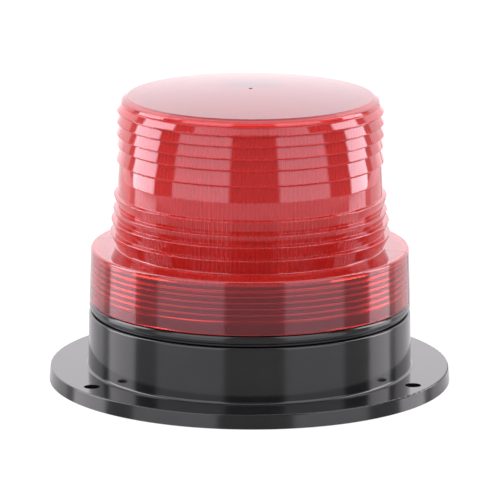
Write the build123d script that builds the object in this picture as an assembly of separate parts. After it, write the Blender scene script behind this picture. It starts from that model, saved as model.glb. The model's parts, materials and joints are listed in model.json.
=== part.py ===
from build123d import *
import math
import os

# Flange-mounted LED warning beacon. Millimetres, +Z up, origin at the centre of the underside.
# The front is -Y. The base stands on z = 0 and the lens unscrews upwards.

# ---------------------------------------------------------------- base housing
flange_radius = 82.5
flange_top_radius = 82.0
flange_thickness = 5.8
flange_edge_round = 0.5
mount_hole_count = 3
mount_hole_radius = 3.25
mount_hole_circle = 75.0
mount_hole_first_angle = 90.0

wall_foot_radius = 66.5
wall_top_radius = 66.1
wall_foot_fillet = 1.0
wall_top_round = 0.8
deck_top = 28.7
deck_thickness = 2.5
deck_underside = deck_top - deck_thickness

recess_radius = 62.4
recess_depth = 5.8
cavity_radius = 59.0

neck_radius = 62.25
neck_thickness = 2.8
neck_top = 53.1
neck_bore_radius = neck_radius - neck_thickness

# ---------------------------------------------------------------- screw thread of neck and lens
thread_pitch = 2.5
thread_depth = 0.9
thread_clearance = 0.35
thread_crest_width = 0.58
thread_flank_run = 0.52
thread_bury = 0.4
male_thread_start = 38.225
male_thread_turns = 5.5
female_thread_start = male_thread_start + thread_pitch / 2
female_thread_turns = 5.3

# ---------------------------------------------------------------- lens
lens_bottom = 33.6
lens_foot_radius = 65.95
lens_shoulder_radius = 65.2
shoulder_height = 55.65
shoulder_round = 1.1
shoulder_underside = 53.8
skirt_bore_radius = neck_radius + thread_depth + thread_clearance
drum_foot_radius = 54.6
drum_foot_height = 56.0
drum_bore_foot_radius = 51.6
drum_bore_top_radius = 49.9

lower_ledges = [(54.9, 62.5), (54.5, 67.9), (54.1, 72.4), (54.2, 78.1)]
lower_crests = [(57.5, 62.1), (57.0, 67.4), (56.1, 71.8), (55.9, 77.6)]
band_middle = (53.95, 85.0)
upper_crests = [(54.7, 92.0), (54.4, 98.2), (54.8, 102.9), (54.7, 107.8), (54.6, 112.2)]
upper_valley_radii = [53.5, 53.2, 53.2, 53.1, 53.0]
prism_return = 0.8
lip_groove = (52.5, 114.9)
lip_edge = (53.0, 115.6)
lip_shoulder = (52.4, 116.8)
dome_rim_radius = 50.1
dome_rim_height = 118.2
dome_top = 121.0
dome_thickness = 2.6
gate_pip_radius = 0.8
gate_pip_height = 0.3

# ---------------------------------------------------------------- seal ring
seal_bottom = 29.1
seal_top = 33.25
seal_outer_radius = 65.6
seal_bore_radius = neck_radius + thread_depth + thread_clearance
seal_bulge = 0.35

# ---------------------------------------------------------------- bottom cover and cable inlet
cover_radius = 62.0
cover_thickness = 2.6
gasket_thickness = 0.8
cover_bottom = recess_depth - gasket_thickness - cover_thickness
cover_top = cover_bottom + cover_thickness
cover_screw_circle = 50.0
cover_boss_radius = 4.5
cover_screw_radius = 1.5
cover_screw_head_radius = 2.8
cover_screw_head_height = 1.8
cover_screw_length = 14.0
cable_bore_radius = 3.0
grommet_neck_radius = 5.0
grommet_lip_radius = 7.0
grommet_lip_thickness = 1.8
deck_wire_hole_radius = 6.0

# ---------------------------------------------------------------- terminal block under the deck
terminal_centre = (0.0, 26.0)
terminal_length = 22.0
terminal_width = 14.0
terminal_height = 11.0
terminal_wire_radius = 1.6
terminal_screw_radius = 1.9
terminal_spacing = 10.0

# ---------------------------------------------------------------- board stack in the neck
stack_circle = 46.0
stack_first_angle = 30.0
standoff_flats = 6.0
screw_radius = 1.5
board_radius = 54.0
board_thickness = 1.6
lower_standoff_length = 8.0
board_bottom = deck_top + lower_standoff_length
board_top = board_bottom + board_thickness
plate_thickness = 1.6
plate_radius = 58.4
plate_bottom = 51.0
plate_top = plate_bottom + plate_thickness

# ---------------------------------------------------------------- LED tower
tower_flats = 36.0
tower_bore_radius = 10.0
tower_height = 52.0
tower_top = plate_top + tower_height
tower_screw_circle = 14.5
fin_slot_width = 2.0
fin_slot_depth = 3.0
led_board_width = 17.0
led_board_length = 46.0
led_board_thickness = 1.6
led_size = 5.0
led_thickness = 1.4
led_lens_radius = 1.9
leds_per_board = 4
led_spacing = 10.5
top_board_radius = 14.0
top_led_circle = 8.0


def ring(outer_radius, inner_radius, bottom, top):
    """A plain flat ring about the Z axis."""
    tube = Cylinder(outer_radius, top - bottom) - Cylinder(inner_radius, top - bottom)
    return Pos(0, 0, (top + bottom) / 2) * tube


def disc(radius, bottom, top, x=0.0, y=0.0):
    """A round solid that stands on the plane z = bottom."""
    return Pos(x, y, (top + bottom) / 2) * Cylinder(radius, top - bottom)


def closed_face(pieces):
    """A face inside a closed chain of lines and arcs."""
    return make_face([edge for piece in pieces for edge in piece.edges()])


def on_circle(radius, count, first_angle=0.0):
    """Places evenly spaced on a circle, as (x, y) pairs."""
    step = 360.0 / count
    angles = [math.radians(first_angle + step * i) for i in range(count)]
    return [(radius * math.cos(a), radius * math.sin(a)) for a in angles]


def as_group(solids):
    """Separate solids that share one node."""
    return Compound(children=list(solids))


def hexagon_bar(flats, bottom, top, x=0.0, y=0.0):
    """An upright hexagonal bar with a corner towards +X."""
    outline = RegularPolygon(flats / 2, 6, major_radius=False)
    return Pos(x, y, bottom) * extrude(outline, amount=top - bottom)


def pan_screw(shank_radius, head_radius, head_height, length):
    """A pan-head screw on the Z axis: head above z = 0, shank below, with a cross recess."""
    head = Pos(0, 0, head_height / 2) * Cylinder(head_radius, head_height)
    head = fillet(head.edges().group_by(Axis.Z)[-1], head_height * 0.45)
    shank = Pos(0, 0, -length / 2) * Cylinder(shank_radius, length)
    slot = Box(head_radius * 1.1, shank_radius * 0.4, head_height)
    cross = slot + Rot(0, 0, 90) * slot
    return head + shank - Pos(0, 0, head_height) * cross


def helical_ridge(wall_radius, crest_radius, start_height, turns):
    """One turn-by-turn thread ridge of trapezoid section, its root buried in the wall it stands on."""
    outward = 1.0 if crest_radius > wall_radius else -1.0
    root = wall_radius - outward * thread_bury
    root_half = thread_crest_width / 2 + thread_flank_run * (1 + thread_bury / thread_depth)
    crest_half = thread_crest_width / 2
    corners = [(root, -root_half), (crest_radius, -crest_half), (crest_radius, crest_half), (root, root_half)]
    section = Plane.XZ * make_face(Polyline(*corners, close=True))
    path = Helix(thread_pitch, turns * thread_pitch, wall_radius)
    return Pos(0, 0, start_height) * sweep(section, path, is_frenet=True)


# ---------------------------------------------------------------- outer mouldings
def housing_shell():
    """Flange, wall, deck and neck as one turned shape, open below."""
    foot = flange_thickness
    bore = neck_bore_radius
    outline = [
        (bore, neck_top),
        (neck_radius, neck_top),
        (neck_radius, deck_top),
        (wall_top_radius, deck_top),
        (wall_foot_radius, foot),
        (flange_top_radius, foot),
        (flange_radius, 0),
        (recess_radius, 0),
        (recess_radius, recess_depth),
        (cavity_radius, recess_depth),
        (cavity_radius, deck_underside),
        (0, deck_underside),
        (0, deck_top),
        (bore, deck_top),
    ]
    shell = revolve(Plane.XZ * make_face(Polyline(*outline, close=True)), Axis.Z)
    shell = fillet(circles_at(shell, wall_top_radius, deck_top), wall_top_round)
    shell = fillet(circles_at(shell, wall_foot_radius, foot), wall_foot_fillet)
    return fillet(circles_at(shell, flange_top_radius, foot), flange_edge_round)


def circles_at(shape, radius, height):
    """The circular edges of a turned shape at one radius and height."""
    found = []
    for edge in shape.edges().filter_by(GeomType.CIRCLE):
        if abs(edge.radius - radius) < 0.01 and abs(edge.arc_center.Z - height) < 0.01:
            found.append(edge)
    return found


def base_housing():
    housing = housing_shell()
    for x, y in on_circle(cover_screw_circle, 4, 45.0):
        housing += disc(cover_boss_radius, cover_top, deck_underside, x, y)
        housing -= disc(cover_screw_radius, cover_bottom, cover_top + cover_screw_length, x, y)
    for x, y in on_circle(mount_hole_circle, mount_hole_count, mount_hole_first_angle):
        housing -= disc(mount_hole_radius, -1, flange_thickness + 1, x, y)
    for x, y in on_circle(stack_circle, 3, stack_first_angle):
        housing -= disc(screw_radius, deck_underside - 1, deck_top + 1, x, y)
    housing -= disc(deck_wire_hole_radius, deck_underside - 1, deck_top + 1)
    housing -= disc(screw_radius, deck_underside - 1, deck_top + 1, *terminal_centre)
    crest = neck_radius + thread_depth
    return housing + helical_ridge(neck_radius, crest, male_thread_start, male_thread_turns)


def lens_outline():
    """Half section of the lens: the outside from its foot to the dome, then the inside back down."""
    edges = []
    points = [(skirt_bore_radius, lens_bottom), (lens_foot_radius, lens_bottom)]
    corner = lens_shoulder_radius - shoulder_round
    points.append((lens_shoulder_radius, shoulder_height - shoulder_round))
    edges.append(Polyline(*points))
    edges.append(RadiusArc(points[-1], (corner, shoulder_height), -shoulder_round))
    points = [(corner, shoulder_height), (drum_foot_radius, drum_foot_height)]
    for crest, ledge in zip(lower_crests, lower_ledges):
        points += [crest, ledge]
    edges.append(Polyline(*points))
    band_top = (upper_valley_radii[0], upper_crests[0][1] - prism_return)
    edges.append(ThreePointArc(points[-1], band_middle, band_top))
    points = [band_top]
    for i, crest in enumerate(upper_crests):
        points.append(crest)
        if i + 1 < len(upper_crests):
            points.append((upper_valley_radii[i + 1], upper_crests[i + 1][1] - prism_return))
    points += [lip_groove, lip_edge, lip_shoulder, (dome_rim_radius, dome_rim_height)]
    edges.append(Polyline(*points))
    sag = dome_top - dome_rim_height
    dome_radius = (dome_rim_radius**2 + sag**2) / (2 * sag)
    edges.append(RadiusArc(points[-1], (0, dome_top), dome_radius))
    inner_top = dome_top - dome_thickness
    inner_rim = (drum_bore_top_radius, dome_rim_height - dome_thickness)
    edges.append(Line((0, dome_top), (0, inner_top)))
    edges.append(RadiusArc((0, inner_top), inner_rim, -dome_radius))
    points = [inner_rim, (drum_bore_foot_radius, shoulder_underside)]
    points += [(skirt_bore_radius, shoulder_underside), (skirt_bore_radius, lens_bottom)]
    edges.append(Polyline(*points))
    return closed_face(edges)


def lens():
    body = revolve(Plane.XZ * lens_outline(), Axis.Z)
    body += disc(gate_pip_radius, dome_top - 1.0, dome_top + gate_pip_height)
    crest = skirt_bore_radius - thread_depth
    return body + helical_ridge(skirt_bore_radius, crest, female_thread_start, female_thread_turns)


def seal_ring():
    """A soft ring with a bulged outer face."""
    middle = (seal_outer_radius + seal_bulge, (seal_bottom + seal_top) / 2)
    low = (seal_outer_radius, seal_bottom)
    high = (seal_outer_radius, seal_top)
    bore_low = (seal_bore_radius, seal_bottom)
    bore_high = (seal_bore_radius, seal_top)
    edges = [ThreePointArc(low, middle, high), Polyline(high, bore_high, bore_low, low)]
    return revolve(Plane.XZ * closed_face(edges), Axis.Z)


# ---------------------------------------------------------------- bottom cover and cable inlet
def bottom_cover():
    plate = disc(cover_radius, cover_bottom, cover_top)
    plate -= disc(grommet_neck_radius, cover_bottom - 1, cover_top + 1)
    for x, y in on_circle(cover_screw_circle, 4, 45.0):
        plate -= disc(cover_screw_radius + 0.2, cover_bottom - 1, cover_top + 1, x, y)
    return plate


def cover_gasket():
    return ring(cover_radius, cavity_radius, cover_top, recess_depth)


def cover_screws():
    screw = pan_screw(cover_screw_radius, cover_screw_head_radius, cover_screw_head_height, cover_screw_length)
    flipped = Rot(180, 0, 0) * screw
    return as_group([Pos(x, y, cover_bottom) * flipped for x, y in on_circle(cover_screw_circle, 4, 45.0)])


def grommet_span():
    """Lowest and highest point of the cable grommet."""
    return cover_bottom - grommet_lip_thickness, cover_top + grommet_lip_thickness


def cable_grommet():
    low, high = grommet_span()
    lower_lip = disc(grommet_lip_radius, low, cover_bottom)
    upper_lip = disc(grommet_lip_radius, cover_top, high)
    bush = lower_lip + disc(grommet_neck_radius, low, high) + upper_lip
    return bush - disc(cable_bore_radius, low - 1, high + 1)


# ---------------------------------------------------------------- terminal block
def terminal_block():
    x, y = terminal_centre
    bottom = deck_underside - terminal_height
    block = Pos(x, y, bottom + terminal_height / 2) * Box(terminal_length, terminal_width, terminal_height)
    wire_hole = Rot(90, 0, 0) * Cylinder(terminal_wire_radius, terminal_width + 2)
    for side in (-1, 1):
        place = x + side * terminal_spacing / 2 + side * 1.5
        block -= Pos(place, y, deck_underside - 4.0) * wire_hole
        for row in (-1, 1):
            block -= disc(terminal_screw_radius + 0.1, bottom - 1, bottom + 4.0, place, y + row * 3.5)
    block -= disc(screw_radius + 0.1, bottom - 1, deck_underside + 1, x, y)
    return block - disc(3.0, bottom - 1, bottom + 2.5, x, y)


def terminal_screws():
    x, y = terminal_centre
    bottom = deck_underside - terminal_height
    screws = []
    for side in (-1, 1):
        place = x + side * terminal_spacing / 2 + side * 1.5
        for row in (-1, 1):
            screw = disc(terminal_screw_radius, bottom + 1.0, bottom + 4.0, place, y + row * 3.5)
            slot = Pos(place, y + row * 3.5, bottom + 1.0) * Box(4.0, 0.6, 1.0)
            screws.append(screw - slot)
    return as_group(screws)


def terminal_block_screw():
    x, y = terminal_centre
    bottom = deck_underside - terminal_height
    screw = pan_screw(screw_radius, 2.8, 1.6, terminal_height)
    return Pos(x, y, bottom + 2.5) * (Rot(180, 0, 0) * screw)


# ---------------------------------------------------------------- board stack
def standoffs(bottom, top):
    """Three hexagonal spacers with a screw bore right through."""
    pieces = []
    for x, y in on_circle(stack_circle, 3, stack_first_angle):
        bar = hexagon_bar(standoff_flats, bottom, top, x, y)
        pieces.append(bar - disc(screw_radius, bottom - 1, top + 1, x, y))
    return as_group(pieces)


def driver_board():
    board = disc(board_radius, board_bottom, board_top)
    for x, y in on_circle(stack_circle, 3, stack_first_angle):
        board -= disc(screw_radius + 0.1, board_bottom - 1, board_top + 1, x, y)
    return board - disc(deck_wire_hole_radius, board_bottom - 1, board_top + 1)


def storage_inductor():
    """A drum core: two flanges and a winding between them."""
    x, y = 22.0, -14.0
    core = disc(9.0, board_top, board_top + 1.5, x, y) + disc(9.0, board_top + 7.5, board_top + 9.0, x, y)
    return core + disc(7.8, board_top, board_top + 9.0, x, y)


def smoothing_capacitors():
    cans = []
    for x, y in ((-22.0, -18.0), (-9.0, -24.0)):
        can = disc(5.0, board_top, board_top + 11.5, x, y)
        can = fillet(can.edges().group_by(Axis.Z)[-1], 0.6)
        cans.append(can - Pos(x, y, board_top + 11.5) * (Box(6, 0.5, 0.6) + Box(0.5, 6, 0.6)))
    return as_group(cans)


def gull_wing_chip(x, y, length, width, height, pins):
    """A flat package with a row of pins along each long side."""
    package = Pos(x, y, board_top + height / 2 + 0.1) * Box(length, width, height)
    pitch = length / pins
    for i in range(pins):
        place = x + (i - (pins - 1) / 2) * pitch
        package += Pos(place, y, board_top + 0.3) * Box(pitch * 0.4, width + 2.0, 0.6)
    return package


def driver_chip():
    return gull_wing_chip(4.0, 20.0, 10.0, 4.5, 1.6, 8)


def bridge_rectifier():
    return gull_wing_chip(-24.0, 6.0, 8.0, 6.5, 2.6, 2)


def fuse_holder():
    """Two end clips on a base."""
    x, y = -2.0, 34.0
    base = Pos(x, y, board_top + 1.0) * Box(24.0, 8.0, 2.0)
    for side in (-1, 1):
        clip = Pos(x + side * 9.0, y, board_top + 4.5) * Box(4.0, 8.0, 7.0)
        base += clip
    return base - Pos(x, y, board_top + 5.0) * (Rot(0, 90, 0) * Cylinder(2.6, 30.0))


def fuse():
    x, y = -2.0, 34.0
    return Pos(x, y, board_top + 5.0) * (Rot(0, 90, 0) * Cylinder(2.5, 20.0))


def lead_header():
    """A four-way plug housing."""
    x, y = 26.0, 14.0
    header = Pos(x, y, board_top + 4.0) * Box(6.0, 12.0, 8.0)
    for i in range(4):
        header -= Pos(x, y + (i - 1.5) * 2.5, board_top + 7.0) * Box(1.4, 1.4, 4.0)
    return header


def reflector_plate():
    plate = disc(plate_radius, plate_bottom, plate_top)
    for x, y in on_circle(stack_circle, 3, stack_first_angle):
        plate -= disc(screw_radius + 0.1, plate_bottom - 1, plate_top + 1, x, y)
    for x, y in on_circle(tower_screw_circle, 3):
        plate -= disc(screw_radius + 0.1, plate_bottom - 1, plate_top + 1, x, y)
    return plate - disc(tower_bore_radius, plate_bottom - 1, plate_top + 1)


def plate_screws():
    length = plate_top - deck_underside - 1.0
    screw = pan_screw(screw_radius - 0.05, 2.8, 1.6, length)
    return as_group([Pos(x, y, plate_top) * screw for x, y in on_circle(stack_circle, 3, stack_first_angle)])


# ---------------------------------------------------------------- LED tower
def led_tower():
    """A hexagonal heat sink with a central bore and cooling slots in the bore."""
    tower = hexagon_bar(tower_flats, plate_top, tower_top)
    tower -= disc(tower_bore_radius, plate_top - 1, tower_top + 1)
    middle = (plate_top + tower_top) / 2
    for i in range(3):
        slot = Box(2 * (tower_bore_radius + fin_slot_depth), fin_slot_width, tower_height + 2)
        tower -= Pos(0, 0, middle) * (Rot(0, 0, face_angle(i)) * slot)
    for x, y in on_circle(tower_screw_circle, 3):
        tower -= disc(screw_radius, plate_top - 1, plate_top + 10.0, x, y)
        tower -= disc(screw_radius, tower_top - 8.0, tower_top + 1, x, y)
    return tower


def tower_screws():
    """Three screws up through the plate into the tower."""
    screw = Rot(180, 0, 0) * pan_screw(screw_radius - 0.05, 2.8, 1.6, plate_thickness + 8.0)
    return as_group([Pos(x, y, plate_bottom) * screw for x, y in on_circle(tower_screw_circle, 3)])


def face_angle(index):
    """Direction that tower face number index looks in, in degrees."""
    return 30.0 + 60.0 * index


def on_tower_face(solid, index):
    """Turns a solid built against the +X face of the tower onto face number index."""
    return Rot(0, 0, face_angle(index)) * solid


def led_board(index):
    middle = (plate_top + tower_top) / 2
    x = tower_flats / 2 + led_board_thickness / 2
    board = Pos(x, 0, middle) * Box(led_board_thickness, led_board_width, led_board_length)
    return on_tower_face(board, index)


def led_package():
    """One LED on the plane x = 0, facing +X: a square package with a domed lens."""
    package = Pos(led_thickness / 2, 0, 0) * Box(led_thickness, led_size, led_size)
    cut = Pos(led_lens_radius, 0, 0) * Box(2 * led_lens_radius, 2 * led_size, 2 * led_size)
    dome = Sphere(led_lens_radius) & cut
    return package + Pos(led_thickness, 0, 0) * dome


def led_row(index):
    middle = (plate_top + tower_top) / 2
    x = tower_flats / 2 + led_board_thickness
    heights = [middle + (i - (leds_per_board - 1) / 2) * led_spacing for i in range(leds_per_board)]
    return as_group([on_tower_face(Pos(x, 0, z) * led_package(), index) for z in heights])


def top_board():
    board = disc(top_board_radius, tower_top, tower_top + led_board_thickness)
    return board - disc(screw_radius + 0.1, tower_top - 1, tower_top + 3, tower_screw_circle - 3.0, 0)


def top_leds():
    upward = Rot(0, -90, 0) * led_package()
    height = tower_top + led_board_thickness
    return as_group([Pos(x, y, height) * upward for x, y in on_circle(top_led_circle, 3, 60.0)])


def write_parts():
    parts = {
        "base_housing": base_housing(),
        "seal_ring": seal_ring(),
        "lens": lens(),
        "bottom_cover": bottom_cover(),
        "cover_gasket": cover_gasket(),
        "cover_screws": cover_screws(),
        "cable_grommet": cable_grommet(),
        "terminal_block": terminal_block(),
        "terminal_screws": terminal_screws(),
        "terminal_block_screw": terminal_block_screw(),
        "lower_standoffs": standoffs(deck_top, board_bottom),
        "driver_board": driver_board(),
        "storage_inductor": storage_inductor(),
        "smoothing_capacitors": smoothing_capacitors(),
        "driver_chip": driver_chip(),
        "bridge_rectifier": bridge_rectifier(),
        "fuse_holder": fuse_holder(),
        "fuse": fuse(),
        "lead_header": lead_header(),
        "upper_standoffs": standoffs(board_top, plate_bottom),
        "reflector_plate": reflector_plate(),
        "plate_screws": plate_screws(),
        "led_tower": led_tower(),
        "tower_screws": tower_screws(),
        "top_board": top_board(),
        "top_leds": top_leds(),
    }
    for index in range(6):
        parts[f"led_board_{index + 1}"] = led_board(index)
        parts[f"led_row_{index + 1}"] = led_row(index)
    os.makedirs("parts", exist_ok=True)
    for name, shape in parts.items():
        export_step(shape, f"parts/{name}.step")


write_parts()
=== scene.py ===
import json
import math

import bmesh
import bpy
from mathutils import Matrix, Vector


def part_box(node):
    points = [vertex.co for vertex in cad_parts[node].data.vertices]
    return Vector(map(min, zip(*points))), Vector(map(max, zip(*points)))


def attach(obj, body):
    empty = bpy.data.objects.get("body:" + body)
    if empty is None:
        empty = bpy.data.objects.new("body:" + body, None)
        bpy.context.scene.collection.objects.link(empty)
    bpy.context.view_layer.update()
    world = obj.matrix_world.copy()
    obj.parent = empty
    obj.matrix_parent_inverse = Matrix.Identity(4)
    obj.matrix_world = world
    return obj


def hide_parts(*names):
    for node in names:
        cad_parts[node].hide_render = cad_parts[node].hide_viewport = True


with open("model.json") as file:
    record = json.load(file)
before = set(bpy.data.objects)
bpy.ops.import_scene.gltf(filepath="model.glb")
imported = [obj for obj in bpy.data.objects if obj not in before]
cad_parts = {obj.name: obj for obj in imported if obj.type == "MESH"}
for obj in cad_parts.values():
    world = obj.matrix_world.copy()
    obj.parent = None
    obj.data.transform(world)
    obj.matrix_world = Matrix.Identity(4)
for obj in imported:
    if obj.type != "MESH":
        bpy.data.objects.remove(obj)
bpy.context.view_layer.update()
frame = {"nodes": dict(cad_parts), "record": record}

MM = 0.001
scene = bpy.context.scene

# ---------------------------------------------- sizes of the lens, in millimetres; angles in degrees
COLUMNS = 360
FLUTES = 180
FLUTE_STEPS = 8
FLUTE_DEPTH = 0.8

LENS_LOW, LENS_HIGH = (corner.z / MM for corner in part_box("lens"))
SEAM_ANGLES = (168.0, 348.0)
SEAM_HALF_ANGLE = 0.16
SEAM_PROUD = 0.12
SEAM_MARK = 0.5
SEAM_TOP = 57.0
PIP_FOOT = 121.08
UPPER_RINGS = 88.0
SKIRT_BORE = 63.5
THREAD_PITCH = 2.5
THREAD_DEPTH = 0.9
THREAD_HALF_WIDTH = 0.72
THREAD_START = 39.475
THREAD_TOP = 53.3
THREAD_LOW = 38.0
THREAD_RUN_OUT = 0.6
SHOULDER_UNDERSIDE = 53.8
DRUM_BORE_FOOT = 51.6
DRUM_BORE_TOP = 49.9
DOME_THICKNESS = 2.6
DOME_HIGH = 121.0
DOME_FOOT = (50.1, 118.2)
INNER_TOP = 115.4
INNER_RIM = 46.0
INNER_RISE = 2.34
SHARP_ANGLE = 35.0
MERGE_DISTANCE = 1e-7  # in metres


# ------------------------------------------------------------------ mesh helpers
def arc_corner(before, corner, after, radius, steps):
    """Points of a round corner that is tangent to both straight neighbours."""
    a = (Vector(before) - Vector(corner)).normalized()
    b = (Vector(after) - Vector(corner)).normalized()
    half = a.angle(b) / 2
    reach = radius / math.tan(half)
    centre = Vector(corner) + (a + b).normalized() * (radius / math.sin(half))
    start = Vector(corner) + a * reach - centre
    end = Vector(corner) + b * reach - centre
    points = []
    for i in range(steps + 1):
        t = i / steps
        points.append(tuple(centre + start.slerp(end, t).normalized() * radius))
    return points


def rounded(outline, steps=4):
    """An outline of (radius, height) or (radius, height, corner radius) points with its corners rounded."""
    made = []
    for i, point in enumerate(outline):
        if len(point) == 3 and 0 < i < len(outline) - 1:
            made += arc_corner(outline[i - 1][:2], point[:2], outline[i + 1][:2], point[2], steps)
        else:
            made.append(point[:2])
    return made


def divided(points, longest):
    """The same outline with extra points on stretches that are longer than a limit."""
    made = [points[0]]
    for a, b in zip(points, points[1:]):
        length = math.hypot(b[0] - a[0], b[1] - a[1])
        parts = max(1, math.ceil(length / longest))
        for i in range(1, parts + 1):
            made.append((a[0] + (b[0] - a[0]) * i / parts, a[1] + (b[1] - a[1]) * i / parts))
    return made


def seamed_angles():
    """Even angles all round, but drawn close together on both sides of the two mould seams."""
    angles = [360.0 * i / COLUMNS for i in range(COLUMNS)]
    for seam in SEAM_ANGLES:
        k = round(seam * COLUMNS / 360)
        angles[k - 1], angles[k], angles[k + 1] = seam - SEAM_HALF_ANGLE, seam, seam + SEAM_HALF_ANGLE
    return [math.radians(angle) for angle in angles]


def seamed_ring(mesh, radius, height, proud):
    """One ring of the outside, with a fine ridge at each mould seam."""
    ring = []
    for angle in seamed_angles():
        on_seam = any(abs(math.degrees(angle) - seam) < 0.01 for seam in SEAM_ANGLES)
        r = radius + (proud if on_seam else 0.0)
        ring.append(mesh.verts.new((r * MM * math.cos(angle), r * MM * math.sin(angle), height * MM)))
    return ring


def ring_of(mesh, radius, height, columns):
    """One ring of vertices about the Z axis; radius may be a function of the angle."""
    ring = []
    for i in range(columns):
        angle = 2 * math.pi * i / columns
        r = radius(angle) if callable(radius) else radius
        ring.append(mesh.verts.new((r * MM * math.cos(angle), r * MM * math.sin(angle), height * MM)))
    return ring


def join_rings(mesh, low, high):
    """Quads between two rings of the same count, or of one to two."""
    if len(low) == len(high):
        for i in range(len(low)):
            j = (i + 1) % len(low)
            mesh.faces.new((low[i], low[j], high[j], high[i]))
        return
    flip = len(low) > len(high)
    few, many = (high, low) if flip else (low, high)
    for i in range(len(few)):
        j = (i + 1) % len(few)
        a, b, c = many[2 * i], many[2 * i + 1], many[(2 * i + 2) % len(many)]
        faces = [(few[i], b, a), (few[i], few[j], b), (few[j], c, b)]
        for face in faces:
            mesh.faces.new(face)


def cap(mesh, ring, height):
    """Closes a ring with a fan to a point on the axis."""
    centre = mesh.verts.new((0, 0, height * MM))
    for i in range(len(ring)):
        mesh.faces.new((ring[i], ring[(i + 1) % len(ring)], centre))


def finished(name, mesh, material):
    """Turns a bmesh into an object with smooth, area-weighted normals."""
    bmesh.ops.remove_doubles(mesh, verts=mesh.verts, dist=MERGE_DISTANCE)
    bmesh.ops.recalc_face_normals(mesh, faces=mesh.faces)
    data = bpy.data.meshes.new(name)
    mesh.to_mesh(data)
    mesh.free()
    data.shade_smooth()
    data.set_sharp_from_angle(angle=math.radians(SHARP_ANGLE))
    piece = bpy.data.objects.new(name, data)
    scene.collection.objects.link(piece)
    data.materials.append(material)
    weighted = piece.modifiers.new("even_normals", "WEIGHTED_NORMAL")
    weighted.keep_sharp = True
    return piece


# ------------------------------------------------------------------ materials
def new_material(name):
    material = bpy.data.materials.new(name)
    material.use_nodes = True
    return material, material.node_tree.nodes, material.node_tree.links


def math_node(nodes, links, operation, *values):
    node = nodes.new("ShaderNodeMath")
    node.operation = operation
    for socket, value in zip(node.inputs, values):
        if isinstance(value, (int, float)):
            socket.default_value = value
        else:
            links.new(value, socket)
    return node.outputs["Value"]


def ramp_over(nodes, links, factor, stops):
    """A grey ramp through (position, value) stops."""
    ramp = nodes.new("ShaderNodeValToRGB")
    ramp.color_ramp.interpolation = "LINEAR"
    elements = ramp.color_ramp.elements
    while len(elements) > 1:
        elements.remove(elements[-1])
    elements[0].position = stops[0][0]
    elements[0].color = (stops[0][1],) * 3 + (1,)
    for position, value in stops[1:]:
        element = elements.new(position)
        element.color = (value,) * 3 + (1,)
    links.new(factor, ramp.inputs["Fac"])
    return ramp


def noise_node(nodes, links, scale, detail=3.0, stretch=(1, 1, 1)):
    coords = nodes.new("ShaderNodeTexCoord")
    mapping = nodes.new("ShaderNodeMapping")
    mapping.inputs["Scale"].default_value = stretch
    noise = nodes.new("ShaderNodeTexNoise")
    noise.inputs["Scale"].default_value = scale
    noise.inputs["Detail"].default_value = detail
    links.new(coords.outputs["Object"], mapping.inputs["Vector"])
    links.new(mapping.outputs["Vector"], noise.inputs["Vector"])
    return noise


def two_tone(nodes, links, factor, low, high, start=0.35, end=0.65):
    ramp = nodes.new("ShaderNodeValToRGB")
    ramp.color_ramp.elements[0].position = start
    ramp.color_ramp.elements[0].color = (*low, 1)
    ramp.color_ramp.elements[1].position = end
    ramp.color_ramp.elements[1].color = (*high, 1)
    links.new(factor, ramp.inputs["Fac"])
    return ramp


def rough_range(nodes, links, factor, low, high):
    span = nodes.new("ShaderNodeMapRange")
    span.inputs["To Min"].default_value = low
    span.inputs["To Max"].default_value = high
    links.new(factor, span.inputs["Value"])
    return span


def fade(nodes, links, value, none, full, most=1.0):
    """0 up to one value, rising to the most at another, and level beyond it."""
    span = nodes.new("ShaderNodeMapRange")
    span.inputs["From Min"].default_value = none
    span.inputs["From Max"].default_value = full
    span.inputs["To Max"].default_value = most
    links.new(value, span.inputs["Value"])
    return span.outputs["Result"]


def tinted(nodes, links, factor, first, colour):
    """One colour socket blended towards a fixed colour."""
    mix = nodes.new("ShaderNodeMix")
    mix.data_type = "RGBA"
    links.new(factor, mix.inputs["Factor"])
    links.new(first, mix.inputs["A"])
    mix.inputs["B"].default_value = (*colour, 1)
    return mix.outputs["Result"]


def add_bump(nodes, links, height, strength, distance):
    bump = nodes.new("ShaderNodeBump")
    bump.inputs["Strength"].default_value = strength
    bump.inputs["Distance"].default_value = distance
    links.new(height, bump.inputs["Height"])
    links.new(bump.outputs["Normal"], nodes["Principled BSDF"].inputs["Normal"])


GRAIN_HEIGHT = 0.0002


def plain_surface(name, low, high, rough, scale, metallic=0.0, bump=0.0, stretch=(1, 1, 1), ior=1.5):
    """A moulded, cast or drawn surface: two near colours, uneven gloss and a fine grain."""
    material, nodes, links = new_material(name)
    shader = nodes["Principled BSDF"]
    noise = noise_node(nodes, links, scale, stretch=stretch)
    tone = two_tone(nodes, links, noise.outputs["Fac"], low, high)
    links.new(tone.outputs["Color"], shader.inputs["Base Color"])
    gloss = rough_range(nodes, links, noise.outputs["Fac"], *rough)
    links.new(gloss.outputs["Result"], shader.inputs["Roughness"])
    shader.inputs["Metallic"].default_value = metallic
    shader.inputs["IOR"].default_value = ior
    if bump:
        add_bump(nodes, links, noise.outputs["Fac"], bump, GRAIN_HEIGHT)
    return material


# How clear the lens is at each height in millimetres, fitted; the rest of the light is scattered.
CLEAR_SPAN = 0.13
CLEARNESS = (
    (0.0, 0.94), (36.0, 0.94), (40.5, 0.92), (53.0, 0.91), (56.5, 0.62),
    (66.0, 0.64), (80.0, 0.64), (115.5, 0.65), (118.5, 0.92), (130.0, 0.92),
)
LENS_TONES = ((0.72, 0.034, 0.027), (0.75, 0.038, 0.030))
LENS_GLOSS = (0.02, 0.04)
LENS_IOR = 1.58
LENS_SPECULAR = (0.96, 0.93, 1.05, 1)
BORE_ROUGHNESS = 0.03
THREAD_ROUGHNESS = 0.5
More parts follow.
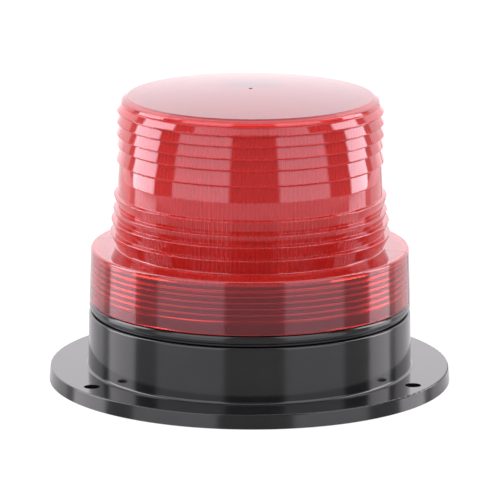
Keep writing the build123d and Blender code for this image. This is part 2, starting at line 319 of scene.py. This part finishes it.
# The milky shares of the painted glow, highlight and reflection below are taken off the clearness; heights
# are in millimetres.
# Painted glow on the thread ridges: its fade by depth, its milky share and its brighter red.
THREAD_FADE, THREAD_GLOW_SHARE, THREAD_GLOW_COLOUR = (0.10, 0.40), 0.92, (1.0, 0.07, 0.06)
# Painted highlight on the rib crests: the heights of its fade, its milky share, its strength and its orange
# colour.
RIB_FADE, RIB_HIGHLIGHT_SHARE, RIB_HIGHLIGHT_STRENGTH, RIB_HIGHLIGHT_COLOUR = (82.0, 66.0), 0.48, 2.5, (1.0, 0.20, 0.06)
# Painted reflection on the ring undersides: the tilt of its fade and its milky share.
UNDERSIDE_TILT, UNDERSIDE_REFLECTION_SHARE = (-0.15, -0.6), 0.5
# Painted shade on the dome: the heights of its fade and its darker red.
DOME_FADE, DOME_SHADE_COLOUR = (115.5, 118.5), (0.42, 0.030, 0.026)
MARK_LOSS, MARK_COLOUR = 0.6, (0.22, 0.008, 0.010)


def lens_places(nodes, links):
    """Sockets of the place on the lens, its radius, the normal's tilt and whether the face looks inward.

    The place is in object space and the normal in world space, so the last is right only at whole turns.
    """
    spot = nodes.new("ShaderNodeTexCoord")
    place = nodes.new("ShaderNodeSeparateXYZ")
    links.new(spot.outputs["Object"], place.inputs["Vector"])
    side = nodes.new("ShaderNodeCombineXYZ")
    links.new(place.outputs["X"], side.inputs["X"])
    links.new(place.outputs["Y"], side.inputs["Y"])
    radius = nodes.new("ShaderNodeVectorMath")
    radius.operation = "LENGTH"
    links.new(side.outputs["Vector"], radius.inputs[0])
    facing = nodes.new("ShaderNodeNewGeometry")
    normal = nodes.new("ShaderNodeSeparateXYZ")
    links.new(facing.outputs["True Normal"], normal.inputs["Vector"])
    outward = nodes.new("ShaderNodeVectorMath")
    outward.operation = "DOT_PRODUCT"
    links.new(side.outputs["Vector"], outward.inputs[0])
    links.new(facing.outputs["True Normal"], outward.inputs[1])
    inner = math_node(nodes, links, "LESS_THAN", outward.outputs["Value"], 0.0)
    return place.outputs, radius.outputs["Value"], normal.outputs["Z"], inner


def thread_glow_mask(nodes, links, place, radius, inner):
    """The thread's ridges in the bore of the skirt, which get a painted glow: brighter red and milkier."""
    low, high = ((SKIRT_BORE - depth) * MM for depth in THREAD_FADE)
    ridge = fade(nodes, links, radius, low, high, THREAD_GLOW_SHARE)
    skirt = math_node(nodes, links, "LESS_THAN", place["Z"], (SHOULDER_UNDERSIDE - 0.2) * MM)
    bore = math_node(nodes, links, "MULTIPLY", inner, skirt)
    return math_node(nodes, links, "MULTIPLY", ridge, bore)


def rib_highlight_mask(nodes, links, place, bore):
    """The crests of the ribs, low down in the drum's bore, where a painted highlight goes: orange stripes,
    made milkier.
    """
    turn = math_node(nodes, links, "ARCTAN2", place["Y"], place["X"])
    wave = math_node(nodes, links, "COSINE", math_node(nodes, links, "MULTIPLY", turn, FLUTES))
    crest = math_node(nodes, links, "MULTIPLY_ADD", wave, -0.5, 0.5)
    low_down = fade(nodes, links, place["Z"], *(height * MM for height in RIB_FADE), RIB_HIGHLIGHT_SHARE)
    crest = math_node(nodes, links, "MULTIPLY", crest, low_down)
    return math_node(nodes, links, "MULTIPLY", crest, bore)


def underside_reflection_mask(nodes, links, place, tilt, inner):
    """The undersides of the upper rings, outside, which get a painted reflection: they are made milkier so
    they look lighter.
    """
    under = fade(nodes, links, tilt, *UNDERSIDE_TILT, UNDERSIDE_REFLECTION_SHARE)
    upper = math_node(nodes, links, "GREATER_THAN", place["Z"], UPPER_RINGS * MM)
    outer = math_node(nodes, links, "SUBTRACT", 1.0, inner)
    return math_node(nodes, links, "MULTIPLY", under, math_node(nodes, links, "MULTIPLY", upper, outer))


def mark_mask(nodes, links, place):
    """The mould seam on the skirt and shoulder, and the gate pip on the dome."""
    seam_turn = math.radians(SEAM_ANGLES[0])
    along = math_node(nodes, links, "MULTIPLY", place["X"], math.sin(seam_turn))
    across = math_node(nodes, links, "MULTIPLY", place["Y"], math.cos(seam_turn))
    off_seam = math_node(nodes, links, "ABSOLUTE", math_node(nodes, links, "SUBTRACT", along, across))
    seam = math_node(nodes, links, "LESS_THAN", off_seam, SEAM_MARK * MM)
    low = math_node(nodes, links, "LESS_THAN", place["Z"], SEAM_TOP * MM)
    pip = math_node(nodes, links, "GREATER_THAN", place["Z"], PIP_FOOT * MM)
    return math_node(nodes, links, "MAXIMUM", math_node(nodes, links, "MULTIPLY", seam, low), pip)


def red_lens_material():
    """Red polycarbonate, clearer or milkier by place so that it shows what the photo shows; with a painted
    glow on the thread ridges, a painted highlight on the rib crests, a painted reflection under the upper
    rings and a painted shade on the dome.
    """
    material, nodes, links = new_material("red_polycarbonate")
    shader = nodes["Principled BSDF"]
    noise = noise_node(nodes, links, 60.0, detail=2.0)
    tone = two_tone(nodes, links, noise.outputs["Fac"], *LENS_TONES)
    gloss = rough_range(nodes, links, noise.outputs["Fac"], *LENS_GLOSS)
    place, radius, tilt, inner = lens_places(nodes, links)
    drum = math_node(nodes, links, "GREATER_THAN", place["Z"], (SHOULDER_UNDERSIDE + 0.1) * MM)
    bore = math_node(nodes, links, "MULTIPLY", inner, drum)
    thread = thread_glow_mask(nodes, links, place, radius, inner)
    ribs = rib_highlight_mask(nodes, links, place, bore)
    # Painted reflection: downward-facing outer faces of the upper rings are made lighter.
    under = underside_reflection_mask(nodes, links, place, tilt, inner)
    mark = mark_mask(nodes, links, place)

    rough = math_node(nodes, links, "MULTIPLY_ADD", bore, BORE_ROUGHNESS, gloss.outputs["Result"])
    rough = math_node(nodes, links, "MULTIPLY_ADD", thread, THREAD_ROUGHNESS, rough)
    links.new(rough, shader.inputs["Roughness"])
    shader.inputs["IOR"].default_value = LENS_IOR
    shader.inputs["Specular Tint"].default_value = LENS_SPECULAR

    # Painted shade: the dome is tinted a darker red.
    dome = fade(nodes, links, place["Z"], *(height * MM for height in DOME_FADE))
    # Painted highlight: orange stripes on the rib crests low in the drum.
    rib_highlight_mix = math_node(nodes, links, "MULTIPLY", ribs, RIB_HIGHLIGHT_STRENGTH)
    colour = tinted(nodes, links, dome, tone.outputs["Color"], DOME_SHADE_COLOUR)
    colour = tinted(nodes, links, rib_highlight_mix, colour, RIB_HIGHLIGHT_COLOUR)
    # Painted glow: the thread ridges in the skirt's bore are tinted brighter red.
    colour = tinted(nodes, links, thread, colour, THREAD_GLOW_COLOUR)
    colour = tinted(nodes, links, mark, colour, MARK_COLOUR)
    links.new(colour, shader.inputs["Base Color"])

    share = math_node(nodes, links, "MULTIPLY", place["Z"], 1 / CLEAR_SPAN)
    height = ramp_over(nodes, links, share, [(z * MM / CLEAR_SPAN, value) for z, value in CLEARNESS])
    # Painted light: the thread glow, rib highlight and underside reflection are taken off the clearness, so
    # these places scatter more.
    painted_light_share = math_node(nodes, links, "ADD", math_node(nodes, links, "ADD", thread, ribs), under)
    clear = math_node(nodes, links, "SUBTRACT", height.outputs["Color"], painted_light_share)
    kept = math_node(nodes, links, "MULTIPLY_ADD", mark, -MARK_LOSS, 1.0)
    links.new(math_node(nodes, links, "MULTIPLY", clear, kept), shader.inputs["Transmission Weight"])
    return material


# ------------------------------------------------------------------ the lens
def drum_wall(height):
    """Radius of the drum's bore at a height, without its flutes."""
    top = LENS_HIGH - 0.3 - DOME_THICKNESS
    share = (height - SHOULDER_UNDERSIDE) / (top - SHOULDER_UNDERSIDE)
    return DRUM_BORE_FOOT + (DRUM_BORE_TOP - DRUM_BORE_FOOT) * share


def fluted(base, depth):
    """Radius as a function of the angle: round ribs that stand into the bore."""
    def radius(angle):
        share = (angle * FLUTES / (2 * math.pi)) % 1.0
        return base - depth * (1 - (2 * share - 1) ** 2)
    return radius


def lens_outside():
    """The lens's outer outline from the foot of the skirt to the centre of the dome."""
    outline = [(64.6, LENS_LOW), (65.95, LENS_LOW, 0.5), (65.2, 55.65, 1.1), (54.6, 56.0, 0.5)]
    ledges = [(54.9, 62.5), (54.5, 67.9), (54.1, 72.4), (54.2, 78.1)]
    crests = [(57.5, 62.1), (57.0, 67.4), (56.1, 71.8), (55.9, 77.6)]
    for crest, ledge in zip(crests, ledges):
        outline += [(*crest, 0.3), (*ledge, 0.15)]
    outline += [(53.95, 85.0, 20.0), (53.5, 91.2, 0.2)]
    uppers = [(54.7, 92.0), (54.4, 98.2), (54.8, 102.9), (54.7, 107.8), (54.6, 112.2)]
    valleys = [53.2, 53.2, 53.1, 53.0]
    for i, crest in enumerate(uppers):
        outline.append((*crest, 0.34))
        if i < len(valleys):
            outline.append((valleys[i], uppers[i + 1][1] - 0.8, 0.12))
    outline += [(52.5, 114.9, 0.3), (53.0, 115.6, 0.3), (52.4, 116.8, 0.8), (*DOME_FOOT, 0.6)]
    top = rounded(outline + [(48.0, 118.46)])[:-1]
    sag = DOME_HIGH - DOME_FOOT[1]
    curve = (DOME_FOOT[0]**2 + sag**2) / (2 * sag)
    for radius in (48.0, 40.0, 32.0, 24.0, 16.0, 8.0, 3.0, 0.9):
        top.append((radius, DOME_HIGH - curve + math.sqrt(curve**2 - radius**2)))
    return top + [(0.7, 121.15), (0.45, 121.27)]


def thread_profile(offset):
    """How far the thread's ridge stands out at an axial distance from its middle."""
    if abs(offset) >= THREAD_HALF_WIDTH:
        return 0.0
    return THREAD_DEPTH * math.cos(math.pi / 2 * offset / THREAD_HALF_WIDTH) ** 1.2


THREAD_OFFSETS = (-1.25, -0.80, -0.72, -0.62, -0.48, -0.34, -0.17, 0.0, 0.17, 0.34, 0.48, 0.62, 0.72, 0.80)


def thread_rows(mesh):
    """The skirt's bore: a grid whose rows follow the helix, flattened into plain rings at both ends."""
    low, high = THREAD_LOW, THREAD_TOP
    per_turn = len(THREAD_OFFSETS)
    first = math.floor((low - THREAD_START) / THREAD_PITCH) - 1
    turns = math.ceil((high - low) / THREAD_PITCH) + 3
    grid = []
    for i in range(COLUMNS):
        angle = 2 * math.pi * i / COLUMNS
        column = []
        for turn in range(turns):
            for offset in THREAD_OFFSETS:
                height = THREAD_START + THREAD_PITCH * (first + turn + i / COLUMNS) + offset
                ends = min(1.0, max(0.0, min(height - low, high - height) / THREAD_RUN_OUT))
                r = SKIRT_BORE - thread_profile(offset) * ends
                height = min(high, max(low, height))
                place = (r * MM * math.cos(angle), r * MM * math.sin(angle), height * MM)
                column.append(mesh.verts.new(place))
        grid.append(column)
    rows = len(grid[0])
    for i in range(COLUMNS - 1):
        for j in range(rows - 1):
            mesh.faces.new((grid[i][j], grid[i + 1][j], grid[i + 1][j + 1], grid[i][j + 1]))
    for j in range(rows - 1 - per_turn):
        a, b = grid[-1], grid[0]
        mesh.faces.new((a[j], b[j + per_turn], b[j + per_turn + 1], a[j + 1]))
    return [column[0] for column in grid], [column[-1] for column in grid]


def lens_piece(material):
    mesh = bmesh.new()
    outside = divided(lens_outside(), 6.0)
    rings = [seamed_ring(mesh, r, z, SEAM_PROUD if r > 52.0 else 0.0) for r, z in outside]
    for low, high in zip(rings, rings[1:]):
        join_rings(mesh, low, high)
    cap(mesh, rings[-1], 121.3)

    bore_low, bore_high = thread_rows(mesh)
    foot = ring_of(mesh, SKIRT_BORE, LENS_LOW + 0.4, COLUMNS)
    lip = ring_of(mesh, SKIRT_BORE + 0.4, LENS_LOW, COLUMNS)
    join_rings(mesh, rings[0], lip)
    join_rings(mesh, lip, foot)
    join_rings(mesh, foot, bore_low)

    fine = FLUTES * FLUTE_STEPS
    under = ring_of(mesh, SKIRT_BORE - 0.5, SHOULDER_UNDERSIDE, COLUMNS)
    join_rings(mesh, bore_high, under)
    middle = ring_of(mesh, DRUM_BORE_FOOT + 3.0, SHOULDER_UNDERSIDE, fine // 2)
    join_rings(mesh, under, middle)
    last = ring_of(mesh, DRUM_BORE_FOOT + 1.2, SHOULDER_UNDERSIDE, fine)
    join_rings(mesh, middle, last)
    stations = [(55.0, 0.0), (57.2, 1.0), (113.0, 1.0), (114.2, 0.0)]
    for height, share in stations:
        base = drum_wall(height)
        ring = ring_of(mesh, fluted(base, FLUTE_DEPTH * share) if share else base, height, fine)
        join_rings(mesh, last, ring)
        last = ring
    for r, z in ((49.6, INNER_TOP - 0.4), (48.6, INNER_TOP + 0.1)):
        ring = ring_of(mesh, r, z, fine)
        join_rings(mesh, last, ring)
        last = ring
    middle = ring_of(mesh, 47.4, INNER_TOP + 0.4, fine // 2)
    join_rings(mesh, last, middle)
    coarse = ring_of(mesh, INNER_RIM, INNER_TOP + 0.5, COLUMNS)
    join_rings(mesh, middle, coarse)
    last = coarse
    for r in (34.0, 20.0, 6.0):
        rise = INNER_RISE * (1 - (r / INNER_RIM) ** 2)
        ring = ring_of(mesh, r, INNER_TOP + 0.5 + rise, COLUMNS)
        join_rings(mesh, last, ring)
        last = ring
    cap(mesh, last, INNER_TOP + 0.5 + INNER_RISE)
    piece = finished("lens_shell", mesh, material)
    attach(piece, "lens")
    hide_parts("lens")
    return piece


# ------------------------------------------------------------------ the seal ring
def seal_piece(material):
    """A rubber ring with a round lip over a set-back foot."""
    outline = [
        (63.5, 29.1), (64.85, 29.1, 0.15), (64.95, 29.95, 0.3), (65.6, 30.25, 0.4), (65.95, 31.3, 0.9),
        (65.85, 32.6, 0.5), (65.4, 33.25, 0.3), (63.5, 33.25), (63.5, 29.1),
    ]
    mesh = bmesh.new()
    rings = [ring_of(mesh, r, z, COLUMNS) for r, z in rounded(outline)[:-1]]
    for low, high in zip(rings, rings[1:] + rings[:1]):
        join_rings(mesh, low, high)
    piece = finished("seal_lip_ring", mesh, material)
    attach(piece, "seal")
    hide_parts("seal_ring")
    return piece


# ------------------------------------------------------------------ CAD nodes that stay
# Slot: two colours, range of roughness, grain scale, and what differs from plain_surface's defaults.
FINISHES = {
    "black_abs": ((0.0055, 0.0055, 0.006), (0.008, 0.008, 0.0085), (0.10, 0.16), 90.0, {"bump": 0.02}),
    "black_rubber": ((0.004, 0.004, 0.0045), (0.006, 0.006, 0.0065), (0.10, 0.18), 160.0, {"bump": 0.03}),
    "grey_foam": ((0.02, 0.02, 0.022), (0.035, 0.035, 0.037), (0.8, 0.95), 700.0, {"bump": 0.4}),
    "zinc_steel": ((0.55, 0.55, 0.53), (0.66, 0.66, 0.64), (0.25, 0.4), 300.0, {"metallic": 1.0}),
    "brass": ((0.66, 0.46, 0.17), (0.78, 0.57, 0.25), (0.22, 0.36), 260.0, {"metallic": 1.0}),
    "green_nylon": ((0.02, 0.20, 0.08), (0.03, 0.25, 0.10), (0.35, 0.5), 120.0, {"bump": 0.05}),
    "circuit_board": ((0.012, 0.11, 0.04), (0.02, 0.17, 0.06), (0.25, 0.45), 400.0, {}),
    "ferrite": ((0.03, 0.03, 0.032), (0.05, 0.05, 0.052), (0.6, 0.8), 500.0, {"bump": 0.1}),
    "capacitor_sleeve": ((0.01, 0.012, 0.03), (0.016, 0.02, 0.045), (0.2, 0.3), 100.0, {}),
    "chip_epoxy": ((0.012, 0.012, 0.013), (0.02, 0.02, 0.021), (0.5, 0.7), 600.0, {"bump": 0.05}),
    "fuse_glass": ((0.75, 0.8, 0.8), (0.82, 0.86, 0.86), (0.05, 0.1), 80.0, {}),
    "white_nylon": ((0.72, 0.72, 0.70), (0.80, 0.80, 0.78), (0.35, 0.5), 90.0, {"bump": 0.03}),
    "aluminium": (
        (0.62, 0.63, 0.64), (0.74, 0.75, 0.76), (0.28, 0.42), 60.0, {"metallic": 1.0, "stretch": (1, 1, 40)},
    ),
    "led_board_white": ((0.76, 0.76, 0.74), (0.84, 0.84, 0.82), (0.3, 0.45), 200.0, {}),
    "led_package": ((0.70, 0.60, 0.22), (0.82, 0.72, 0.30), (0.2, 0.3), 300.0, {}),
}


def cad_materials():
    """One finished material for each of the slots that a plain surface can show."""
    return {
        name: plain_surface(name, low, high, rough, scale, **extra)
        for name, (low, high, rough, scale, extra) in FINISHES.items()
    }


def dress_cad_nodes(finishes):
    for entry in frame["record"]["subparts"]:
        node = frame["nodes"][entry["node"]]
        if entry["node"] in ("lens", "seal_ring"):
            continue
        for slot in node.material_slots:
            slot.material = finishes[entry["material_slot"]]


# ------------------------------------------------------------------ camera, floor and light
CAMERA_DISTANCE = 1.75
CAMERA_ELEVATION = math.radians(14.782)
CAMERA_AZIMUTH = math.radians(-2.0)
CAMERA_ROLL = math.radians(0.2387)
CAMERA_LENS = 304.86
AIM_TILT = math.radians(1.707)


def make_camera():
    camera = bpy.data.objects.new("camera", bpy.data.cameras.new("camera"))
    scene.collection.objects.link(camera)
    level = CAMERA_DISTANCE * math.cos(CAMERA_ELEVATION)
    camera.location = (
        level * math.sin(CAMERA_AZIMUTH),
        -level * math.cos(CAMERA_AZIMUTH),
        CAMERA_DISTANCE * math.sin(CAMERA_ELEVATION),
    )
    turn = Matrix.Rotation(CAMERA_AZIMUTH, 4, "Z")
    pitch = Matrix.Rotation(math.pi / 2 - CAMERA_ELEVATION + AIM_TILT, 4, "X")
    roll = Matrix.Rotation(CAMERA_ROLL, 4, "Z")
    camera.matrix_world = Matrix.Translation(camera.location) @ turn @ pitch @ roll
    camera.data.lens = CAMERA_LENS
    camera.data.sensor_width = 36.0
    camera.data.clip_end = 50.0
    scene.camera = camera


# Studio light by direction: degrees from the front towards +X, and how bright it is there.
BOXES = (
    (-180.0, 1.8), (-129.0, 1.8), (-127.0, 0.5), (-120.0, 0.5), (-118.0, 6.5), (-90.0, 6.5), (-88.0, 0.3),
    (-70.0, 0.3), (-68.0, 2.6), (-19.0, 2.6), (-17.0, 0.3), (24.0, 0.3), (26.0, 2.6), (70.0, 2.6),
    (72.0, 0.3), (94.0, 0.3), (96.0, 6.5), (118.0, 6.5), (120.0, 0.5), (127.0, 0.5), (129.0, 1.8),
    (180.0, 1.8),
)
BRIGHTEST = 8.0
CAMERA_TURN = -2.0
TOP_LIGHT = 1.6
ELEVATIONS = ((0.0, 0.0), (0.9, 0.0), (0.95, 1.0), (1.0, 1.0))

# How brightly the table shines beyond its near part: degrees from the front towards +X, and strength.
TABLE = ((-180.0, 1.5), (-130.0, 1.5), (-66.0, 1.1), (66.0, 1.1), (130.0, 1.5), (180.0, 1.5))
NEAR_TABLE = 0.22
# How far from the axis the lights and the backdrop stand on the table, in metres, by direction.
STANDS = (
    (-180.0, 0.9), (-130.0, 0.9), (-128.0, 0.62), (-84.0, 0.62), (-70.0, 0.8),
    (70.0, 0.8), (88.0, 0.62), (128.0, 0.62), (130.0, 0.9), (180.0, 0.9),
)
# The floor, the table and the backdrop; lengths are in metres.
LIGHT_COLOUR = (1.0, 0.965, 1.01, 1)
TABLE_TOP = 2.0
TABLE_TONES = ((0.20, 0.20, 0.20), (0.21, 0.21, 0.21))
TABLE_GLOSS = 0.05
NEAR_REACH = (0.50, 0.56)
FLOOR_HALF = 3.0
FLOOR_DROP = 0.0002
FLOOR_ROUGHNESS = 0.9
FLOOR_GLOW = 0.8
BACKDROP_FROM = 0.55
BACKDROP_RISE = (0.75, -0.17)
BACKDROP_SEEN = 1.1


def direction_share(nodes, links, x, y):
    """The direction about the Z axis as a share of a turn: 0.5 is the front, and it grows towards +X."""
    turn = math_node(nodes, links, "ARCTAN2", x, math_node(nodes, links, "MULTIPLY", y, -1.0))
    return math_node(nodes, links, "MULTIPLY_ADD", turn, 1 / (2 * math.pi), 0.5)


def by_direction(nodes, links, share, stops, most):
    """A value through (degrees from the front, value) stops; the ramp itself holds shares of the most."""
    placed = [((degrees + CAMERA_TURN) / 360 + 0.5, value / most) for degrees, value in stops]
    placed = [(min(1.0, max(0.0, position)), value) for position, value in placed]
    ramp = ramp_over(nodes, links, share, placed)
    return math_node(nodes, links, "MULTIPLY", ramp.outputs["Color"], most)


def glow(nodes, links, strength):
    """An even light of the studio's colour."""
    shine = nodes.new("ShaderNodeEmission")
    shine.inputs["Color"].default_value = LIGHT_COLOUR
    links.new(strength, shine.inputs["Strength"])
    return shine.outputs["Emission"]


def mixed_shader(nodes, links, factor, first, second):
    mix = nodes.new("ShaderNodeMixShader")
    links.new(factor, mix.inputs["Fac"])
    links.new(first, mix.inputs[1])
    links.new(second, mix.inputs[2])
    return mix.outputs["Shader"]


def make_floor():
    """One flat sheet: plain and pale to the camera, a satin table ringed by lights to all other rays."""
    material, nodes, links = new_material("pale_floor")
    satin = nodes["Principled BSDF"]
    noise = noise_node(nodes, links, 3.0)
    tone = two_tone(nodes, links, noise.outputs["Fac"], *TABLE_TONES)
    links.new(tone.outputs["Color"], satin.inputs["Base Color"])
    satin.inputs["Roughness"].default_value = TABLE_GLOSS
    satin.inputs["Emission Color"].default_value = (1, 1, 1, 1)
    satin.inputs["Emission Strength"].default_value = NEAR_TABLE
    coords = nodes.new("ShaderNodeTexCoord")
    split = nodes.new("ShaderNodeSeparateXYZ")
    links.new(coords.outputs["Object"], split.inputs["Vector"])
    share = direction_share(nodes, links, split.outputs["X"], split.outputs["Y"])
    distance = nodes.new("ShaderNodeVectorMath")
    distance.operation = "LENGTH"
    links.new(coords.outputs["Object"], distance.inputs[0])
    reach = nodes.new("ShaderNodeMapRange")
    reach.interpolation_type = "SMOOTHSTEP"
    reach.inputs["From Min"].default_value, reach.inputs["From Max"].default_value = NEAR_REACH
    links.new(distance.outputs["Value"], reach.inputs["Value"])
    far = glow(nodes, links, by_direction(nodes, links, share, TABLE, TABLE_TOP))
    table = mixed_shader(nodes, links, reach.outputs["Result"], satin.outputs["BSDF"], far)
    edge = by_direction(nodes, links, share, STANDS, 1.0)
    beyond = math_node(nodes, links, "GREATER_THAN", distance.outputs["Value"], edge)
    boxes = glow(nodes, links, by_direction(nodes, links, share, BOXES, BRIGHTEST))
    table = mixed_shader(nodes, links, beyond, table, boxes)
    plain = nodes.new("ShaderNodeBsdfPrincipled")
    links.new(tone.outputs["Color"], plain.inputs["Base Color"])
    plain.inputs["Roughness"].default_value = FLOOR_ROUGHNESS
    plain.inputs["Specular IOR Level"].default_value = 0.0
    plain.inputs["Emission Color"].default_value = (1, 1, 1, 1)
    plain.inputs["Emission Strength"].default_value = FLOOR_GLOW
    path = nodes.new("ShaderNodeLightPath")
    surface = mixed_shader(nodes, links, path.outputs["Is Camera Ray"], table, plain.outputs["BSDF"])
    links.new(surface, nodes["Material Output"].inputs["Surface"])
    data = bpy.data.meshes.new("floor")
    corners = [(x * FLOOR_HALF, y * FLOOR_HALF, 0) for x, y in ((-1, -1), (1, -1), (1, 1), (-1, 1))]
    data.from_pydata(corners, [], [(0, 1, 2, 3)])
    data.materials.append(material)
    floor = bpy.data.objects.new("floor", data)
    floor.location.z = -FLOOR_DROP
    scene.collection.objects.link(floor)


def make_world():
    """Light panels all round, a top light and, for the camera only, an even white backdrop."""
    world = bpy.data.worlds.new("studio")
    scene.world = world
    world.use_nodes = True
    nodes, links = world.node_tree.nodes, world.node_tree.links
    background = nodes["Background"]
    coords = nodes.new("ShaderNodeTexCoord")
    split = nodes.new("ShaderNodeSeparateXYZ")
    links.new(coords.outputs["Generated"], split.inputs["Vector"])
    x, y, z = split.outputs["X"], split.outputs["Y"], split.outputs["Z"]
    around = by_direction(nodes, links, direction_share(nodes, links, x, y), BOXES, BRIGHTEST)
    behind = math_node(nodes, links, "GREATER_THAN", y, BACKDROP_FROM)
    rise = math_node(nodes, links, "MULTIPLY_ADD", z, *BACKDROP_RISE)
    gain = math_node(nodes, links, "MULTIPLY_ADD", behind, rise, 1.0)
    around = math_node(nodes, links, "MULTIPLY", around, gain)
    height = ramp_over(nodes, links, math_node(nodes, links, "MULTIPLY_ADD", z, 0.5, 0.5), ELEVATIONS)
    mixed = nodes.new("ShaderNodeMix")
    mixed.data_type = "FLOAT"
    links.new(height.outputs["Color"], mixed.inputs["Factor"])
    links.new(around, mixed.inputs["A"])
    mixed.inputs["B"].default_value = TOP_LIGHT
    path = nodes.new("ShaderNodeLightPath")
    seen = nodes.new("ShaderNodeMix")
    seen.data_type = "FLOAT"
    links.new(path.outputs["Is Camera Ray"], seen.inputs["Factor"])
    links.new(mixed.outputs["Result"], seen.inputs["A"])
    seen.inputs["B"].default_value = BACKDROP_SEEN
    links.new(seen.outputs["Result"], background.inputs["Strength"])
    background.inputs["Color"].default_value = LIGHT_COLOUR
    scene.view_settings.view_transform = "Standard"


make_camera()
make_floor()
make_world()
finishes = cad_materials()
dress_cad_nodes(finishes)
seal_piece(finishes["black_rubber"])
lens_piece(red_lens_material())
